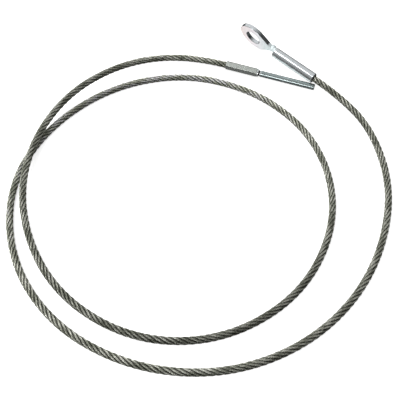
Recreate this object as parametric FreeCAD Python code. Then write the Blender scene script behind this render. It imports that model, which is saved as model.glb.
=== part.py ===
"""Wire rope assembly with an eye terminal at one end and a plain stud terminal at the other.

The assembly lies on a flat surface in almost two loose loops. Millimetres, +Z up. The origin is
the centre of the eye's bore. +X and +Y are level, and the eye's shank points towards +X and -Y.
"""
import FreeCAD, Part
import math
import os

Vector = FreeCAD.Vector
Rotation = FreeCAD.Rotation

# Wire rope: six outer strands laid right-handed round a core strand.
ROPE_D = 5.0
ROPE_R = ROPE_D / 2
LAY_LENGTH = 26.7            # one turn of an outer strand, along the rope
OUTER_STRANDS = 6
CORE_STRAND_R = 0.92
OUTER_STRAND_R = 0.78
STRAND_HELIX_R = 1.71        # from the rope's centre to an outer strand's centre

# Eye terminal: flat lug, ball-shaped neck bead and swaged shank, forged in one piece.
LUG_R = 12.4
LUG_T = 3.1
EYE_BORE_R = 6.25
EYE_BORE_CHAMFER = 0.2
LUG_EDGE_ROUND = 0.5
LUG_END_X = 17.5             # where the lug's straight sides end, from the bore's centre
LUG_END_HALF_W = 1.8
BEAD_X = 18.0                # the bead's centre
BEAD_OFFSET = 0.5            # from the lug's middle plane, away from the shank's axis
BEAD_R = 2.7
NECK_R = 2.1                 # the waist between the bead and the shank
SHANK_X = 20.9               # the shank's eye end
MOUTH_X = 57.9               # the shank's mouth, where the rope goes in
SHANK_OFFSET = 1.3           # from the lug's middle plane to the shank's axis
SHANK_R = 3.85
SHANK_ROUND = 0.8
MOUTH_CHAMFER = 0.35
MOUTH_FLARE_R = 3.2
MOUTH_FLARE_L = 0.8
SHANK_BORE_R = 2.5
SHANK_BORE_L = 31.0
DRILL_POINT_L = 1.5          # conical bottom of the drilled bore

# Stud terminal: a crimped sleeve that grips the rope's end and the stud's stem.
SLEEVE_L = 24.1
SLEEVE_FLATS = 6
SLEEVE_ACROSS_FLATS = 5.9
SLEEVE_CORNER_R = 0.6        # the flats meet in rounded corners
SLEEVE_CHAMFER = 0.2
SLEEVE_ROLL = 20.0           # degrees about the sleeve: 0 is a flat that faces straight up
STEM_L = 8.0
STEM_R = 2.5
COLLAR_R = 2.9
COLLAR_L = 1.4
COLLAR_CHAMFER = 0.3
GROOVE_R = 2.0
GROOVE_L = 1.0
STUD_R = 2.3
STUD_END_X = 68.7            # the stud's tip, from the sleeve's rope end
STUD_CHAMFER = 0.4

# How the two terminals lie on the surface.
EYE_HEADING = -41.0          # degrees about +Z, from +X
EYE_PITCH = 3.6              # degrees down, from the eye to the mouth
EYE_ROLL = 105.8             # degrees about the shank: 90 is a lug that stands upright
SLEEVE_END = (-21.6, -21.4)  # where the sleeve's rope end is, in X and Y
STUD_HEADING = -17.6

END_OVERLAP = 2.0            # how far a tool solid runs past what it cuts
SAME = 1e-6                  # lengths closer than this are equal


def eye_rotation():
    turn = Rotation(Vector(0, 0, 1), EYE_HEADING)
    pitch = Rotation(Vector(0, 1, 0), EYE_PITCH)
    roll = Rotation(Vector(1, 0, 0), EYE_ROLL)
    return turn.multiply(pitch).multiply(roll)


def lug_reach_down(rotation):
    """Distance from the bore's centre down to the lowest point of the lug's rounded rim."""
    in_plane = math.hypot(
        rotation.multVec(Vector(1, 0, 0)).z, rotation.multVec(Vector(0, 1, 0)).z
    )
    across = abs(rotation.multVec(Vector(0, 0, 1)).z)
    flat_r = LUG_R - LUG_EDGE_ROUND
    flat_half_t = LUG_T / 2 - LUG_EDGE_ROUND
    return flat_r * in_plane + flat_half_t * across + LUG_EDGE_ROUND


def sleeve_reach_down():
    """Distance from the sleeve's axis down to the lowest of its rounded corners."""
    step = 360.0 / SLEEVE_FLATS
    corner_centre = (SLEEVE_ACROSS_FLATS / 2 - SLEEVE_CORNER_R) / math.cos(math.radians(step / 2))
    off_down = min(abs(SLEEVE_ROLL + (i + 0.5) * step - 180) for i in range(SLEEVE_FLATS))
    return corner_centre * math.cos(math.radians(off_down)) + SLEEVE_CORNER_R


EYE_PLACEMENT = FreeCAD.Placement(Vector(0, 0, 0), eye_rotation())
SHANK_PLACEMENT = EYE_PLACEMENT.multiply(
    FreeCAD.Placement(Vector(0, 0, SHANK_OFFSET), Rotation())
)
FLOOR_Z = -lug_reach_down(EYE_PLACEMENT.Rotation)
REST_Z = FLOOR_Z + ROPE_R    # the rope's centre line where it lies on the surface
SLEEVE_DOWN = sleeve_reach_down()

# The sleeve's far edge and the stud's tip both touch the surface, so the terminal leans a little.
STUD_PITCH = math.degrees(math.asin((SLEEVE_DOWN - STUD_R) / (STUD_END_X - SLEEVE_L)))
SLEEVE_END_Z = FLOOR_Z + SLEEVE_DOWN + SLEEVE_L * math.sin(math.radians(STUD_PITCH))
STUD_PLACEMENT = FreeCAD.Placement(
    Vector(SLEEVE_END[0], SLEEVE_END[1], SLEEVE_END_Z),
    Rotation(Vector(0, 0, 1), STUD_HEADING).multiply(Rotation(Vector(0, 1, 0), STUD_PITCH)),
)

# The rope's route between the terminals: X, Y and the height over REST_Z. It leaves each terminal
# in line with it, and the second loop goes over the first in a long low hump.
EXIT_RUN = 22.0
ENTRY_RUN = 31.0
ROUTE = (
    (81.0, -84.0, 2.3),
    (88.0, -136.0, 0.6),
    (68.0, -194.0, 0.0),
    (29.0, -236.0, 0.0),
    (-23.0, -257.5, 0.0),
    (-79.5, -254.5, 0.0),
    (-130.0, -228.5, 0.0),
    (-162.5, -184.0, 0.0),
    (-171.0, -127.0, 0.0),
    (-149.5, -78.0, 0.0),
    (-106.0, -41.0, 0.0),
    (-50.0, -29.0, 0.0),
    (5.0, -49.0, 0.0),
    (42.0, -92.0, 0.0),
    (50.0, -150.0, 0.0),
    (24.5, -205.5, 0.0),
    (-26.0, -237.5, 0.0),
    (-83.0, -237.5, 0.0),
    (-133.5, -205.5, 0.0),
    (-160.0, -154.0, 3.5),
    (-161.0, -103.0, 10.0),
    (-139.0, -53.0, 10.0),
    (-99.0, -19.5, 4.0),
)
ARC_SHARE = 0.45             # of the shorter run beside a corner


def save(name, shape):
    shape.exportStep(f"parts/{name}.step")
    print(f"{name}: {shape.Volume:.1f} mm3, valid {shape.isValid()}")


def along(placement, distance):
    return placement.multVec(Vector(distance, 0, 0))


def solid_of_revolution(profile):
    """A profile of (x, radius) points from the X axis to the X axis, turned about it."""
    points = [Vector(x, r, 0) for x, r in profile]
    face = Part.Face(Part.makePolygon(points + points[:1]))
    return face.revolve(Vector(0, 0, 0), Vector(1, 0, 0), 360)


def edges_round(shape, x, radius):
    """The circular edges at station x with the given radius."""
    found = []
    for edge in shape.Edges:
        if not isinstance(edge.Curve, Part.Circle):
            continue
        if abs(edge.Curve.Radius - radius) < SAME and abs(edge.Curve.Center.x - x) < SAME:
            found.append(edge)
    return found


# ---- eye terminal ----

def lug_outline():
    """A round end with straight sides that run in to the neck."""
    reach = math.hypot(LUG_END_X, LUG_END_HALF_W)
    touch = math.atan2(LUG_END_HALF_W, LUG_END_X) + math.acos(LUG_R / reach)
    upper = Vector(LUG_R * math.cos(touch), LUG_R * math.sin(touch), 0)
    lower = Vector(upper.x, -upper.y, 0)
    far_upper = Vector(LUG_END_X, LUG_END_HALF_W, 0)
    far_lower = Vector(LUG_END_X, -LUG_END_HALF_W, 0)
    round_end = Part.Arc(upper, Vector(-LUG_R, 0, 0), lower)
    return Part.Wire([
        Part.LineSegment(far_upper, upper).toShape(),
        round_end.toShape(),
        Part.LineSegment(lower, far_lower).toShape(),
        Part.LineSegment(far_lower, far_upper).toShape(),
    ])


def chamfered_bore():
    """The tool solid that cuts the eye's bore with a chamfer at both faces."""
    height = LUG_T + 2 * END_OVERLAP
    bore = Part.makeCylinder(EYE_BORE_R, height, Vector(0, 0, -height / 2))
    flare = Part.makeCone(EYE_BORE_R, EYE_BORE_R + 2 * EYE_BORE_CHAMFER, 2 * EYE_BORE_CHAMFER,
                          Vector(0, 0, LUG_T / 2 - EYE_BORE_CHAMFER))
    other = flare.mirror(Vector(0, 0, 0), Vector(0, 0, 1))
    return bore.fuse(flare).fuse(other)


def lug():
    plate = Part.Face(lug_outline()).extrude(Vector(0, 0, LUG_T))
    plate.translate(Vector(0, 0, -LUG_T / 2))
    bore = chamfered_bore()
    rim = []
    for edge in plate.Edges:
        middle = edge.valueAt((edge.FirstParameter + edge.LastParameter) / 2)
        if abs(abs(middle.z) - LUG_T / 2) < SAME and middle.x < LUG_END_X - SAME:
            rim.append(edge)
    return plate.makeFillet(LUG_EDGE_ROUND, rim).cut(bore)


def neck():
    """A ball that the lug runs into, and a narrower waist between it and the shank."""
    ball = Part.makeSphere(BEAD_R, Vector(BEAD_X, 0, -BEAD_OFFSET))
    waist_l = SHANK_X + SHANK_ROUND - BEAD_X
    waist = Part.makeCylinder(NECK_R, waist_l, Vector(BEAD_X, 0, 0), Vector(1, 0, 0))
    return ball.fuse(waist)


def shank():
    length = MOUTH_X - SHANK_X
    body = Part.makeCylinder(SHANK_R, length, Vector(SHANK_X, 0, 0), Vector(1, 0, 0))
    body = body.makeFillet(SHANK_ROUND, edges_round(body, SHANK_X, SHANK_R))
    body = body.makeChamfer(MOUTH_CHAMFER, edges_round(body, MOUTH_X, SHANK_R))
    bottom = MOUTH_X - SHANK_BORE_L
    hollow = solid_of_revolution([
        (bottom - DRILL_POINT_L, 0), (bottom, SHANK_BORE_R),
        (MOUTH_X - MOUTH_FLARE_L, SHANK_BORE_R), (MOUTH_X, MOUTH_FLARE_R),
        (MOUTH_X + END_OVERLAP, MOUTH_FLARE_R), (MOUTH_X + END_OVERLAP, 0),
    ])
    return body, hollow


def eye_terminal():
    body, hollow = shank()
    for solid in (body, hollow):
        solid.translate(Vector(0, 0, SHANK_OFFSET))
    forged = lug().fuse(neck()).fuse(body)
    shape = forged.cut(hollow).removeSplitter()
    shape.Placement = EYE_PLACEMENT
    return shape


# ---- stud terminal ----

def crimp_sleeve():
    """A thin tube pressed to six flats with rounded corners along its whole length."""
    step = 2 * math.pi / SLEEVE_FLATS
    corner_r = SLEEVE_ACROSS_FLATS / 2 / math.cos(step / 2)
    corners = []
    for i in range(SLEEVE_FLATS):
        angle = (i + 0.5) * step
        corners.append(Vector(0, corner_r * math.sin(angle), corner_r * math.cos(angle)))
    outline = Part.Face(Part.makePolygon(corners + corners[:1]))
    outer = outline.extrude(Vector(SLEEVE_L, 0, 0))
    lengthwise = [edge for edge in outer.Edges if edge.BoundBox.XLength > SLEEVE_L / 2]
    outer = outer.makeFillet(SLEEVE_CORNER_R, lengthwise)
    ends = [edge for edge in outer.Edges if edge.BoundBox.XLength < SLEEVE_L / 2]
    outer = outer.makeChamfer(SLEEVE_CHAMFER, ends)
    outer.rotate(Vector(0, 0, 0), Vector(1, 0, 0), SLEEVE_ROLL)
    bore = Part.makeCylinder(STEM_R, SLEEVE_L + 2 * END_OVERLAP,
                             Vector(-END_OVERLAP, 0, 0), Vector(1, 0, 0))
    shape = outer.cut(bore)
    shape.Placement = STUD_PLACEMENT
    return shape


def stud():
    """A plain round rod with a stem in the sleeve, a collar and a narrow groove behind it."""
    collar_end = SLEEVE_L + COLLAR_L
    groove_end = collar_end + GROOVE_L
    shape = solid_of_revolution([
        (SLEEVE_L - STEM_L, 0), (SLEEVE_L - STEM_L, STEM_R), (SLEEVE_L, STEM_R),
        (SLEEVE_L, COLLAR_R - COLLAR_CHAMFER), (SLEEVE_L + COLLAR_CHAMFER, COLLAR_R),
        (collar_end - COLLAR_CHAMFER, COLLAR_R), (collar_end, COLLAR_R - COLLAR_CHAMFER),
        (collar_end, GROOVE_R), (groove_end, GROOVE_R), (groove_end, STUD_R),
        (STUD_END_X - STUD_CHAMFER, STUD_R), (STUD_END_X, STUD_R - STUD_CHAMFER), (STUD_END_X, 0),
    ])
    shape.Placement = STUD_PLACEMENT
    return shape


# ---- the rope's ends inside the terminals, strand by strand ----

def core_strand(start, end, placement):
    shape = Part.makeCylinder(CORE_STRAND_R, end - start, Vector(start, 0, 0), Vector(1, 0, 0))
    shape.Placement = placement
    return shape


def outer_strand(index, start, end, placement):
    """One outer strand: a round section swept along a right-handed helix, ends cut square."""
    helix = Part.makeHelix(LAY_LENGTH, end - start + 2 * END_OVERLAP, STRAND_HELIX_R)
    rise = LAY_LENGTH / (2 * math.pi)
    section = Part.Wire(Part.makeCircle(
        OUTER_STRAND_R, Vector(STRAND_HELIX_R, 0, 0), Vector(0, STRAND_HELIX_R, rise)
    ))
    strand = Part.Wire(helix.Edges).makePipeShell([section], True, True)
    strand.translate(Vector(0, 0, -END_OVERLAP))
    square = Part.makeCylinder(ROPE_D, end - start)
    strand = strand.common(square)
    strand.rotate(Vector(0, 0, 0), Vector(0, 0, 1), index * 360.0 / OUTER_STRANDS)
    strand.rotate(Vector(0, 0, 0), Vector(0, 1, 0), 90)
    strand.translate(Vector(start, 0, 0))
    return strand.transformGeometry(placement.Matrix)


def save_rope_end(name, start, end, placement):
    save(f"{name}_core_strand", core_strand(start, end, placement))
    for i in range(OUTER_STRANDS):
        save(f"{name}_outer_strand_{i + 1}", outer_strand(i, start, end, placement))


# ---- free length of rope ----

def route_points():
    mouth = along(SHANK_PLACEMENT, MOUTH_X)
    after_mouth = along(SHANK_PLACEMENT, MOUTH_X + EXIT_RUN)
    before_sleeve = along(STUD_PLACEMENT, -ENTRY_RUN)
    sleeve = along(STUD_PLACEMENT, 0)
    middle = [Vector(x, y, REST_Z + lift) for x, y, lift in ROUTE]
    return [mouth, after_mouth] + middle + [before_sleeve, sleeve]


def rope_path(points):
    """Straight runs joined by tangent arcs, each as large as its two runs allow."""
    edges = []
    last = points[0]
    smallest = None
    for before, corner, after in zip(points, points[1:], points[2:]):
        back = (before - corner).normalize()
        on = (after - corner).normalize()
        reach = ARC_SHARE * min((before - corner).Length, (after - corner).Length)
        turn = math.pi - back.getAngle(on)
        radius = reach / math.tan(turn / 2)
        smallest = radius if smallest is None else min(smallest, radius)
        inward = (back + on).normalize()
        centre_distance = radius / math.cos(turn / 2)
        start = corner + back * reach
        middle = corner + inward * (centre_distance - radius)
        end = corner + on * reach
        edges.append(Part.LineSegment(last, start).toShape())
        edges.append(Part.Arc(start, middle, end).toShape())
        print(f"  run {(corner - before).Length:5.1f}  turn {math.degrees(turn):5.1f}"
              f"  radius {radius:6.1f}")
        last = end
    edges.append(Part.LineSegment(last, points[-1]).toShape())
    print(f"  smallest radius {smallest:.1f} mm, {smallest / ROPE_D:.1f} diameters")
    return Part.Wire(edges)


def wire_rope():
    points = route_points()
    path = rope_path(points)
    first_run = (points[1] - points[0]).normalize()
    section = Part.Wire(Part.makeCircle(ROPE_R, points[0], first_run))
    tube = path.makePipeShell([section], True, False)
    exact = math.pi * ROPE_R ** 2 * path.Length
    print(f"  rope path {path.Length:.1f} mm, volume / (section x length) "
          f"{tube.Volume / exact:.5f}, lowest {tube.BoundBox.ZMin - FLOOR_Z:.3f} over the floor")
    return tube


os.makedirs("parts", exist_ok=True)
print(f"floor at {FLOOR_Z:.3f}, stud pitch {STUD_PITCH:.3f}, sleeve end z {SLEEVE_END_Z:.3f}")
save("eye_terminal", eye_terminal())
save("crimp_sleeve", crimp_sleeve())
save("stud", stud())
save_rope_end("eye_end", MOUTH_X - SHANK_BORE_L, MOUTH_X, SHANK_PLACEMENT)
save_rope_end("stud_end", 0.0, SLEEVE_L - STEM_L, STUD_PLACEMENT)
save("wire_rope", wire_rope())
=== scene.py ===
"""Looks for a wire rope assembly: an eye terminal, a stud terminal and the rope between them.

Everything is in metres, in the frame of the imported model, whose origin is the centre of the eye.
"""

import math
import random

import bpy
import numpy as np
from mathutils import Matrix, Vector


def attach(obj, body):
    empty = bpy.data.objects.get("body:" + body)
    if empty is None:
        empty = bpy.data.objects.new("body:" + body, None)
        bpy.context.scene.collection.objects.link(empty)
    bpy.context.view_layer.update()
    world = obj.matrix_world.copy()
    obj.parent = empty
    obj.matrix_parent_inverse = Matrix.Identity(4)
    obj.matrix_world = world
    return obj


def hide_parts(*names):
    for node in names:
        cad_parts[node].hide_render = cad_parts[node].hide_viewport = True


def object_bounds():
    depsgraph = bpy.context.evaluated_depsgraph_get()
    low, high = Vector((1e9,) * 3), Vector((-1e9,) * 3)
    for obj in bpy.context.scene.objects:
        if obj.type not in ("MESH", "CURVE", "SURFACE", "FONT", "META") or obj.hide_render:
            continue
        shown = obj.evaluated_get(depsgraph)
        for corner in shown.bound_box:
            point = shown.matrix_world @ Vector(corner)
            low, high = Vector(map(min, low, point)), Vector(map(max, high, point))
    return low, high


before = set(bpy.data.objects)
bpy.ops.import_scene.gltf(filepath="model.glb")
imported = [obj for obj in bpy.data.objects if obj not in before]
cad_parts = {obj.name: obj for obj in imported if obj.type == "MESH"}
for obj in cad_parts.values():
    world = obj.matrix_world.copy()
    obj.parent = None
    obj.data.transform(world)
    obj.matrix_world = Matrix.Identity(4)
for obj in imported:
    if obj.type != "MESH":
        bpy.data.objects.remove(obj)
CAD_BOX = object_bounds()
FLOOR_Z = CAD_BOX[0].z
MM = 0.001

# ---- camera ----

CAMERA_PLACE = (-0.0417, -0.3590, 0.35676)
CAMERA_TILT = 30.8           # degrees up from straight down, looking along +Y
CAMERA_LENS = 57.42          # mm, on a 36 mm sensor


def make_camera():
    data = bpy.data.cameras.new("camera")
    data.lens = CAMERA_LENS
    data.sensor_width = 36
    camera = bpy.data.objects.new("camera", data)
    camera.location = CAMERA_PLACE
    camera.rotation_euler = (math.radians(CAMERA_TILT), 0, 0)
    bpy.context.scene.collection.objects.link(camera)
    bpy.context.scene.camera = camera


make_camera()

# ---- rope ----

ROPE_D = 5 * MM
LAY_LENGTH = 26.7 * MM       # one turn of an outer strand, along the rope
OUTER_STRANDS = 6
CORE_STRAND_R = 0.92 * MM
OUTER_STRAND_R = 0.78 * MM
STRAND_HELIX_R = 1.71 * MM
WIRES = 6                    # outer wires of a strand
WIRE_R = OUTER_STRAND_R / 3
WIRE_HELIX_R = 2 * WIRE_R
WIRE_LAY = 11 * MM           # one turn of a wire relative to its strand's crown
RING_STEP = 1.0 * MM
POINTS_PER_WIRE = 4
CORE_POINTS = 10             # round the core strand, whose rings skip every other station
CORE_SKIP = 2
ROUTE_RESOLUTION = 48
WIRE_SEED = 5

# How light the wire's colour is, from the shank's mouth to the sleeve: distance in metres, share
# of usual.
TONE_ALONG_ROPE = ((0.0, 1.0), (0.2, 1.05), (0.36, 1.0), (0.54, 1.4), (0.68, 1.9), (0.78, 1.2), (0.85, 1.0),
          (1.0, 0.65), (1.12, 1.0), (1.25, 1.2), (1.36, 1.3))

# The route's ends: the shank's mouth and the sleeve's rope end, and how their axes lie.
MOUTH = (0.042774, -0.038840, -0.003989)
AFTER_MOUTH = (0.059345, -0.053245, -0.005370)
BEFORE_SLEEVE = (-0.051142, -0.012029, -0.007764)
SLEEVE = (-0.021600, -0.021400, -0.008440)
SHANK_Y_AXIS = (-0.133034, -0.245130, 0.960319)   # across the shank, in the lug's plane
SLEEVE_Y_AXIS = (0.302370, 0.953191, 0.0)
FIRST_STRAND_AT_MOUTH = -5.06                     # degrees from the shank's Y axis
FIRST_STRAND_AT_SLEEVE = -63.03

# X, Y and the height of the rope's centre line over where it lies on the floor.
ROUTE = (
    (0.0810, -0.0840, 0.0023),
    (0.0880, -0.1360, 0.0006),
    (0.0680, -0.1940, 0.0),
    (0.0290, -0.2360, 0.0),
    (-0.0230, -0.2575, 0.0),
    (-0.0795, -0.2545, 0.0),
    (-0.1300, -0.2285, 0.0),
    (-0.1625, -0.1840, 0.0),
    (-0.1710, -0.1270, 0.0),
    (-0.1495, -0.0780, 0.0),
    (-0.1060, -0.0410, 0.0),
    (-0.0500, -0.0290, 0.0),
    (0.0050, -0.0490, 0.0),
    (0.0420, -0.0920, 0.0),
    (0.0500, -0.1500, 0.0),
    (0.0245, -0.2055, 0.0),
    (-0.0260, -0.2375, 0.0),
    (-0.0830, -0.2375, 0.0),
    (-0.1335, -0.2055, 0.0),
    (-0.1600, -0.1540, 0.0020),
    (-0.1610, -0.1030, 0.0058),
    (-0.1390, -0.0530, 0.0058),
    (-0.0990, -0.0195, 0.0025),
)


def route_line():
    """The points of the rope's centre line, read from its NURBS spline."""
    lying = FLOOR_Z + ROPE_D / 2
    points = [MOUTH, AFTER_MOUTH] + [(x, y, lying + lift) for x, y, lift in ROUTE]
    points += [BEFORE_SLEEVE, SLEEVE]
    data = bpy.data.curves.new("rope_route", "CURVE")
    data.dimensions = "3D"
    data.resolution_u = ROUTE_RESOLUTION
    spline = data.splines.new("NURBS")
    spline.points.add(len(points) - 1)
    for place, point in zip(spline.points, points):
        place.co = (*point, 1.0)
    spline.order_u = 3
    spline.use_endpoint_u = True
    holder = bpy.data.objects.new("rope_route", data)
    mesh = bpy.data.meshes.new_from_object(holder)
    line = np.array([v.co for v in mesh.vertices])
    bpy.data.objects.remove(holder)
    bpy.data.curves.remove(data)
    bpy.data.meshes.remove(mesh)
    return line


def unit(rows):
    return rows / np.linalg.norm(rows, axis=-1, keepdims=True)


def distance_along(line):
    return np.concatenate([[0], np.cumsum(np.linalg.norm(np.diff(line, axis=0), axis=1))])


def evenly_spaced(line, step):
    along = distance_along(line)
    stations = np.linspace(0, along[-1], round(along[-1] / step) + 1)
    spread = np.stack([np.interp(stations, along, line[:, k]) for k in range(3)], axis=1)
    return stations, spread


def carried_axes(line, first_normal):
    """Normal and binormal at each point of a line, carried along it untwisted."""
    tangents = unit(np.gradient(line, axis=0))
    normals = np.empty_like(line)
    normal = np.array(first_normal)
    for i, tangent in enumerate(tangents):
        normal = unit(normal - tangent * (normal @ tangent))
        normals[i] = normal
    return normals, np.cross(tangents, normals)


LINE = route_line()
STATIONS, CENTRES = evenly_spaced(LINE, RING_STEP)
NORMALS, BINORMALS = carried_axes(CENTRES, SHANK_Y_AXIS)


def strand_phases():
    """The first strand's angle about the rope at each station.

    It meets the strands held in the shank, and its lay is stretched by a hair so that one of the
    six meets each strand held in the sleeve too.
    """
    start = math.radians(FIRST_STRAND_AT_MOUTH)
    turn = 2 * math.pi / LAY_LENGTH
    length = STATIONS[-1]
    sleeve_y = np.array(SLEEVE_Y_AXIS)
    sleeve_angle = math.atan2(sleeve_y @ BINORMALS[-1], sleeve_y @ NORMALS[-1])
    wanted = sleeve_angle + math.radians(FIRST_STRAND_AT_SLEEVE)
    pitch = 2 * math.pi / OUTER_STRANDS
    miss = (wanted - start - turn * length + pitch / 2) % pitch - pitch / 2
    return start + (turn + miss / length) * STATIONS


PHASES = strand_phases()


def lobed_outline(wire_angle):
    """Angles and radii of a strand's outline, whose lobes are its outer wires."""
    step = 2 * math.pi / (WIRES * POINTS_PER_WIRE)
    angles, radii = [], []
    for i in range(WIRES * POINTS_PER_WIRE):
        away = (i % POINTS_PER_WIRE - POINTS_PER_WIRE / 2) * step
        reach = WIRE_HELIX_R * math.cos(away)
        room = max(0.0, WIRE_R ** 2 - (WIRE_HELIX_R * math.sin(away)) ** 2)
        angles.append(wire_angle + i * step)
        radii.append(reach + math.sqrt(room))
    return np.array(angles), np.array(radii)


def tube_faces(rings, around):
    """Quads round a closed tube of rings, and a cap at each end."""
    faces = []
    for i in range(rings - 1):
        for j in range(around):
            k = (j + 1) % around
            near, far = i * around, (i + 1) * around
            faces.append((near + j, near + k, far + k, far + j))
    faces.append(tuple(reversed(range(around))))
    faces.append(tuple(range((rings - 1) * around, rings * around)))
    return faces


def make_tube(name, points, sharp_every=None):
    """A smooth closed tube through rings of points, an array of ring, place, axis.

    Where sharp_every is given, each such lengthwise line is a crease.
    """
    rings, around = points.shape[:2]
    mesh = bpy.data.meshes.new(name)
    mesh.from_pydata(points.reshape(-1, 3).tolist(), [], tube_faces(rings, around))
    mesh.polygons.foreach_set("use_smooth", [True] * len(mesh.polygons))
    if sharp_every:
        ends = np.empty(len(mesh.edges) * 2, int)
        mesh.edges.foreach_get("vertices", ends)
        ends = ends.reshape(-1, 2)
        lengthwise = (ends[:, 0] // around != ends[:, 1] // around)
        valley = (ends % around % sharp_every == 0).all(axis=1)
        mesh.attributes.new("sharp_edge", "BOOLEAN", "EDGE").data.foreach_set(
            "value", lengthwise & valley)
    piece = bpy.data.objects.new(name, mesh)
    bpy.context.scene.collection.objects.link(piece)
    return piece


def add_values(piece, name, values):
    attribute = piece.data.attributes.new(name, "FLOAT", "POINT")
    attribute.data.foreach_set("value", np.ascontiguousarray(values, np.float32).ravel())


def make_outer_strand(index, draw):
    """One outer strand laid round the core, its wires laid the other way round it."""
    phase = PHASES + index * 2 * math.pi / OUTER_STRANDS
    out = np.cos(phase)[:, None] * NORMALS + np.sin(phase)[:, None] * BINORMALS
    centres = CENTRES + STRAND_HELIX_R * out
    tangents = unit(np.gradient(centres, axis=0))
    out = unit(out - tangents * (out * tangents).sum(1, keepdims=True))
    side = np.cross(tangents, out)
    along = distance_along(centres)
    angles, radii = lobed_outline(draw.uniform(0, 2 * math.pi))
    angles = angles[None, :] - 2 * math.pi * along[:, None] / WIRE_LAY
    points = (
        centres[:, None, :]
        + (radii * np.cos(angles))[:, :, None] * out[:, None, :]
        + (radii * np.sin(angles))[:, :, None] * side[:, None, :]
    )
    piece = make_tube(f"rope_strand_{index + 1}", points, POINTS_PER_WIRE)
    from_axis = np.linalg.norm(points - CENTRES[:, None, :], axis=2)
    add_values(piece, "crown", from_axis / (ROPE_D / 2))
    tones = np.repeat([draw.uniform(0, 1) for _ in range(WIRES)], POINTS_PER_WIRE)
    add_values(piece, "wire_tone", np.broadcast_to(tones, from_axis.shape))
    tone_along = np.interp(STATIONS, *zip(*TONE_ALONG_ROPE))
    add_values(piece, "tone_along", np.broadcast_to(tone_along[:, None], from_axis.shape))
    return piece


def make_core_strand():
    angles = np.linspace(0, 2 * math.pi, CORE_POINTS, endpoint=False)
    ring = CORE_STRAND_R * (
        np.cos(angles)[None, :, None] * NORMALS[::CORE_SKIP, None, :]
        + np.sin(angles)[None, :, None] * BINORMALS[::CORE_SKIP, None, :]
    )
    return make_tube("rope_core_strand", CENTRES[::CORE_SKIP, None, :] + ring)


def make_rope():
    draw = random.Random(WIRE_SEED)
    strands = [make_outer_strand(i, draw) for i in range(OUTER_STRANDS)]
    return strands, make_core_strand()


strands, core_strand = make_rope()

# ---- materials ----

NOISE_LOW = 0.3              # most of a noise's values lie between these two
NOISE_HIGH = 0.7
FACE_TURNED = (0.90, 0.98)   # how squarely a surface faces the lug's axis where it is a face
GAP_SHADE_DEPTHS = (0.70, 0.95)   # shares of the rope's radius between full painted shade and bare wire
# painted shade for the gaps between the wires and the strands
GAP_PAINTED_SHADE = (0.020, 0.019, 0.012)
# painted shade: near-black colour for the stud's groove
GROOVE_PAINTED_SHADE = (0.02, 0.02, 0.02)

STUD_AXIS = (0.952964, -0.302298, -0.021803)
LUG_AXIS = (0.644175, 0.714979, 0.271743)
SHANK_AXIS = (0.753220, -0.654764, -0.062791)

# Stations along the shank's axis, and then along the stud's, from the frame's origin.
LUG_REACH = (-12 * MM, 14 * MM)
NECK_START = (14.2 * MM, 15.2 * MM)
NECK_END = (20.6 * MM, 20.9 * MM)
# painted highlight: the stud is coloured light up to here, over the collar and just past the
# groove
STUD_PAINTED_HIGHLIGHT_END = (12.7 * MM, 14.0 * MM)
GROOVE_START = (11.45 * MM, 11.5 * MM)
GROOVE_END = (12.6 * MM, 12.65 * MM)


def set_stops(ramp, stops):
    elements = ramp.color_ramp.elements
    while len(elements) < len(stops):
        elements.new(0.5)
    for element, (position, colour) in zip(elements, stops):
        element.position = position
        element.color = (*colour, 1)


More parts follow.
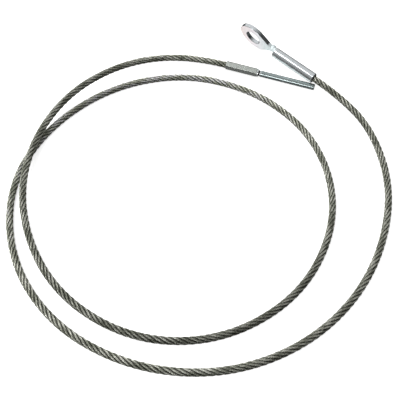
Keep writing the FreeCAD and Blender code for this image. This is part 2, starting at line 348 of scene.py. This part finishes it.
class Nodes:
    """A material's node tree, with short calls for the nodes that repeat here."""

    def __init__(self, name):
        self.material = bpy.data.materials.new(name)
        self.material.use_nodes = True
        self.tree = self.material.node_tree
        self.tree.nodes.clear()
        output = self.tree.nodes.new("ShaderNodeOutputMaterial")
        self.shader = self.tree.nodes.new("ShaderNodeBsdfPrincipled")
        self.link(self.shader.outputs["BSDF"], output.inputs["Surface"])
        coordinates = self.tree.nodes.new("ShaderNodeTexCoord")
        self.place = coordinates.outputs["Object"]

    def link(self, a, b):
        self.tree.links.new(a, b)

    def set(self, **values):
        for name, value in values.items():
            self.shader.inputs[name.replace("_", " ")].default_value = value

    def attribute(self, name):
        node = self.tree.nodes.new("ShaderNodeAttribute")
        node.attribute_name = name
        return node.outputs["Fac"]

    def noise(self, scale, detail=4.0):
        node = self.tree.nodes.new("ShaderNodeTexNoise")
        node.inputs["Scale"].default_value = scale
        node.inputs["Detail"].default_value = detail
        self.link(self.place, node.inputs["Vector"])
        return node.outputs["Fac"]

    def along_axis(self, axis):
        """How far a point is along an axis, from the frame's origin."""
        node = self.tree.nodes.new("ShaderNodeVectorMath")
        node.operation = "DOT_PRODUCT"
        self.link(self.place, node.inputs[0])
        node.inputs[1].default_value = axis
        return node.outputs["Value"]

    def facing(self, axis):
        """How squarely a surface faces along an axis, either way: 1 is head-on and 0 edge-on."""
        geometry = self.tree.nodes.new("ShaderNodeNewGeometry")
        turned = self.tree.nodes.new("ShaderNodeVectorMath")
        turned.operation = "DOT_PRODUCT"
        self.link(geometry.outputs["True Normal"], turned.inputs[0])
        turned.inputs[1].default_value = axis
        size = self.tree.nodes.new("ShaderNodeMath")
        size.operation = "ABSOLUTE"
        self.link(turned.outputs["Value"], size.inputs[0])
        return size.outputs["Value"]

    def ring_noise(self, along, scale):
        """Noise that changes only along an axis, as rings round it."""
        node = self.tree.nodes.new("ShaderNodeTexNoise")
        node.noise_dimensions = "1D"
        node.inputs["Scale"].default_value = scale
        self.link(along, node.inputs["W"])
        return node.outputs["Fac"]

    def remap(self, value, low, high, to_low, to_high):
        node = self.tree.nodes.new("ShaderNodeMapRange")
        node.inputs["From Min"].default_value = low
        node.inputs["From Max"].default_value = high
        node.inputs["To Min"].default_value = to_low
        node.inputs["To Max"].default_value = to_high
        self.link(value, node.inputs["Value"])
        return node.outputs["Result"]

    def math(self, operation, a, b):
        node = self.tree.nodes.new("ShaderNodeMath")
        node.operation = operation
        self.link(a, node.inputs[0])
        self.link(b, node.inputs[1])
        return node.outputs["Value"]

    def within(self, value, start, end, most=1.0):
        """Rises from 0 to most across start, a pair of values, and falls back across end."""
        rise = self.remap(value, *start, 0.0, most)
        return self.math("MULTIPLY", rise, self.remap(value, *end, 1.0, 0.0))

    def ramp(self, value, *stops):
        node = self.tree.nodes.new("ShaderNodeValToRGB")
        set_stops(node, stops)
        self.link(value, node.inputs["Fac"])
        return node.outputs["Color"]

    def mottled(self, scale, dark, light):
        """Noise between two colours."""
        return self.ramp(self.noise(scale), (NOISE_LOW, dark), (NOISE_HIGH, light))

    def uneven(self, noise, low, high):
        """Noise between two values."""
        return self.remap(noise, NOISE_LOW, NOISE_HIGH, low, high)

    def mix(self, share, a, b, blend="MIX"):
        node = self.tree.nodes.new("ShaderNodeMix")
        node.data_type = "RGBA"
        node.blend_type = blend
        node.clamp_result = True
        if isinstance(share, float):
            node.inputs["Factor"].default_value = share
        else:
            self.link(share, node.inputs["Factor"])
        for value, socket in ((a, node.inputs["A"]), (b, node.inputs["B"])):
            if isinstance(value, tuple):
                socket.default_value = (*value, 1)
            else:
                self.link(value, socket)
        return node.outputs["Result"]

    def bump(self, height, distance, strength):
        node = self.tree.nodes.new("ShaderNodeBump")
        node.inputs["Strength"].default_value = strength
        node.inputs["Distance"].default_value = distance
        self.link(height, node.inputs["Height"])
        return node.outputs["Normal"]

    def to(self, name, value):
        self.link(value, self.shader.inputs[name])


def eye_plating():
    """Zinc plate on a forging: frosted on the lug's faces and the neck, burnished elsewhere, with
    a painted reflection tint.
    """
    m = Nodes("eye_plating")
    m.set(IOR=1.6)
    out = m.along_axis(SHANK_AXIS)
    neck = m.within(out, NECK_START, NECK_END, 0.8)
    frosted = m.math("MAXIMUM", m.remap(m.facing(LUG_AXIS), *FACE_TURNED, 0.0, 1.0), neck)
    # painted reflection: the frosted parts are coloured pinkish at the eye and bluish towards the
    # shank
    painted_reflection_tint = m.ramp(m.remap(out, *LUG_REACH, 0.0, 1.0), (0.0, (0.98, 0.88, 0.86)),
                  (0.5, (0.96, 0.92, 0.96)), (1.0, (0.84, 0.94, 0.95)))
    burnished = m.mottled(420, (0.70, 0.74, 0.76), (0.80, 0.84, 0.86))
    m.to("Base Color", m.mix(frosted, burnished, painted_reflection_tint))
    m.to("Metallic", m.remap(frosted, 0.0, 1.0, 0.95, 0.1))
    grain = m.uneven(m.noise(700), 0.0, 0.06)
    m.to("Roughness", m.math("ADD", grain, m.remap(frosted, 0.0, 1.0, 0.13, 0.50)))
    m.to("Normal", m.bump(m.noise(260, 3.0), 0.015 * MM, 0.3))
    return m.material


def sleeve_plating():
    """Dull zinc plate on the pressed flats."""
    m = Nodes("sleeve_plating")
    m.set(Metallic=0.85)
    m.to("Base Color", m.mottled(300, (0.52, 0.55, 0.52), (0.62, 0.66, 0.62)))
    m.to("Roughness", m.uneven(m.noise(700), 0.22, 0.28))
    return m.material


def stud_plating():
    """Satin zinc plate over a turned rod: fine rings, a painted highlight by the collar, painted
    shade in the groove.
    """
    m = Nodes("stud_plating")
    m.set(Metallic=0.85)
    dull = m.mottled(240, (0.36, 0.42, 0.42), (0.42, 0.49, 0.49))
    out = m.along_axis(STUD_AXIS)
    # painted highlight: a light colour over the collar and just past the groove
    with_painted_highlight = m.mix(m.remap(out, *STUD_PAINTED_HIGHLIGHT_END, 1.0, 0.0), dull, (0.82, 0.86, 0.86))
    # painted shade: the groove between the collar and the rod is coloured near-black
    painted_groove_shade = m.within(out, GROOVE_START, GROOVE_END)
    m.to("Base Color", m.mix(painted_groove_shade, with_painted_highlight, GROOVE_PAINTED_SHADE))
    m.to("Roughness", m.remap(m.ring_noise(out, 900), 0.25, 0.75, 0.12, 0.16))
    return m.material


def rope_wire():
    """Galvanised wire: each wire its own grey, lighter on some stretches, and painted shade in the
    gaps.
    """
    m = Nodes("rope_wire")
    m.set(Metallic=0.95)
    tone = m.ramp(m.attribute("wire_tone"), (0.0, (0.36, 0.37, 0.31)), (0.5, (0.62, 0.63, 0.54)),
                  (1.0, (0.98, 0.98, 0.90)))
    metal = m.mix(1.0, tone, m.mottled(350, (0.62, 0.64, 0.60), (1.0, 1.0, 1.0)), "MULTIPLY")
    # the wire's colour is made lighter on some stretches of the rope and darker on others
    metal = m.mix(1.0, metal, m.attribute("tone_along"), "MULTIPLY")
    # painted shade: the wire darkens towards near-black the deeper it lies below the rope's crown
    gap_shade = m.remap(m.attribute("crown"), *GAP_SHADE_DEPTHS, 1.0, 0.0)
    m.to("Base Color", m.mix(gap_shade, metal, GAP_PAINTED_SHADE))
    m.to("Roughness", m.uneven(m.noise(1500, 3.0), 0.20, 0.36))
    m.to("Normal", m.bump(m.noise(2500, 2.0), 0.02 * MM, 0.5))
    return m.material


def held_strand_wire():
    """Darker, mottled wire for the strands that the terminals grip and for the core."""
    m = Nodes("held_strand_wire")
    m.set(Metallic=0.9)
    m.to("Base Color", m.mottled(900, (0.20, 0.20, 0.17), (0.45, 0.45, 0.40)))
    m.to("Roughness", m.uneven(m.noise(1500, 3.0), 0.3, 0.5))
    return m.material


def cover(piece, material):
    if not piece.material_slots:
        piece.data.materials.append(None)
    for slot in piece.material_slots:
        slot.link = "OBJECT"
        slot.material = material


def paint():
    cover(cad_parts["eye_terminal"], eye_plating())
    cover(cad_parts["crimp_sleeve"], sleeve_plating())
    cover(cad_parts["stud"], stud_plating())
    held = held_strand_wire()
    for name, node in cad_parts.items():
        if name.endswith("core_strand") or "outer_strand" in name:
            cover(node, held)
    wire = rope_wire()
    for strand in strands:
        cover(strand, wire)
    cover(core_strand, held)


paint()

# ---- floor and light ----

FLOOR_HALF = 0.8
FLOOR_IN_METAL = 0.10        # the table's reflectance where the metal shows it
FLOOR_LIFT = 0.75            # light that only the camera sees, on top of the table's own
LIGHT_DISTANCE = 1.2
FROM_LEFT = (-0.42, 0.07, 0.905)
# How bright the sky is: 0 is opposite its bright side, and 1 is the middle of its bright side.
SKY_BRIGHT_SIDE = (-0.45, 0.65, 0.61)
SKY = ((0.0, 0.02), (0.38, 0.03), (0.45, 0.08), (0.58, 0.25), (0.74, 0.43), (0.85, 0.65),
       (1.0, 0.78))


def make_floor():
    """A white table, lifted a little for the camera and dimmed where the metal reflects it."""
    mesh = bpy.data.meshes.new("floor")
    signs = ((-1, -1), (1, -1), (1, 1), (-1, 1))
    corners = [(x * FLOOR_HALF, y * FLOOR_HALF, FLOOR_Z) for x, y in signs]
    mesh.from_pydata(corners, [], [(0, 1, 2, 3)])
    floor = bpy.data.objects.new("floor", mesh)
    bpy.context.scene.collection.objects.link(floor)
    material = bpy.data.materials.new("floor")
    material.use_nodes = True
    nodes, links = material.node_tree.nodes, material.node_tree.links
    nodes.clear()
    rays = nodes.new("ShaderNodeLightPath")
    white = nodes.new("ShaderNodeBsdfDiffuse")
    white.inputs["Color"].default_value = (0.92, 0.92, 0.91, 1)
    grey = nodes.new("ShaderNodeBsdfDiffuse")
    grey.inputs["Color"].default_value = (FLOOR_IN_METAL, FLOOR_IN_METAL, FLOOR_IN_METAL, 1)
    seen = nodes.new("ShaderNodeMixShader")
    links.new(rays.outputs["Is Glossy Ray"], seen.inputs["Fac"])
    links.new(white.outputs["BSDF"], seen.inputs[1])
    links.new(grey.outputs["BSDF"], seen.inputs[2])
    lift = nodes.new("ShaderNodeEmission")
    lift.inputs["Color"].default_value = (1.0, 1.0, 1.0, 1)
    strength = nodes.new("ShaderNodeMath")
    strength.operation = "MULTIPLY"
    strength.inputs[1].default_value = FLOOR_LIFT
    links.new(rays.outputs["Is Camera Ray"], strength.inputs[0])
    links.new(strength.outputs["Value"], lift.inputs["Strength"])
    both = nodes.new("ShaderNodeAddShader")
    links.new(seen.outputs["Shader"], both.inputs[0])
    links.new(lift.outputs["Emission"], both.inputs[1])
    output = nodes.new("ShaderNodeOutputMaterial")
    links.new(both.outputs["Shader"], output.inputs["Surface"])
    mesh.materials.append(material)


def add_softbox(name, direction, size, radiance, seen_in_metal=True):
    """A rectangular area light that looks at the middle of the object.

    Its direction is from the object, and its radiance is the brightness of its face.
    """
    data = bpy.data.lights.new(name, "AREA")
    data.shape = "RECTANGLE"
    data.size, data.size_y = size
    data.energy = radiance * math.pi * size[0] * size[1]
    light = bpy.data.objects.new(name, data)
    light.visible_glossy = seen_in_metal
    middle = (CAD_BOX[0] + CAD_BOX[1]) / 2
    way = Vector(direction).normalized()
    light.location = middle + way * LIGHT_DISTANCE
    light.rotation_mode = "QUATERNION"
    light.rotation_quaternion = way.to_track_quat("Z", "Y")
    bpy.context.scene.collection.objects.link(light)


def make_world():
    """A tent, brightest at the back left and dark opposite, which the camera sees as white."""
    world = bpy.data.worlds.new("studio")
    world.use_nodes = True
    bpy.context.scene.world = world
    nodes, links = world.node_tree.nodes, world.node_tree.links
    coordinates = nodes.new("ShaderNodeTexCoord")
    towards = nodes.new("ShaderNodeVectorMath")
    towards.operation = "DOT_PRODUCT"
    towards.inputs[1].default_value = SKY_BRIGHT_SIDE
    links.new(coordinates.outputs["Generated"], towards.inputs[0])
    share = nodes.new("ShaderNodeMapRange")
    share.inputs["From Min"].default_value = -1
    links.new(towards.outputs["Value"], share.inputs["Value"])
    ramp = nodes.new("ShaderNodeValToRGB")
    set_stops(ramp, [(turned, (grey, grey, grey)) for turned, grey in SKY])
    links.new(share.outputs["Result"], ramp.inputs["Fac"])
    rays = nodes.new("ShaderNodeLightPath")
    seen = nodes.new("ShaderNodeMix")
    seen.data_type = "RGBA"
    seen.inputs["B"].default_value = (1.0, 1.0, 1.0, 1)
    links.new(rays.outputs["Is Camera Ray"], seen.inputs["Factor"])
    links.new(ramp.outputs["Color"], seen.inputs["A"])
    links.new(seen.outputs["Result"], nodes["Background"].inputs["Color"])


make_floor()
make_world()
add_softbox("left_softbox", FROM_LEFT, (0.36, 0.34), 5.0)
add_softbox("left_fill", FROM_LEFT, (0.6, 0.5), 5.5, seen_in_metal=False)
add_softbox("front_strip", (-0.32, -0.82, 0.46), (0.26, 0.30), 6.0)
add_softbox("low_fill", (-0.62, -0.75, 0.25), (0.9, 0.5), 5.8, seen_in_metal=False)
bpy.context.scene.view_settings.view_transform = "Standard"

# ---- what rides on what ----

pieces = strands + [core_strand]
for piece in pieces:
    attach(piece, "root")
    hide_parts("wire_rope")
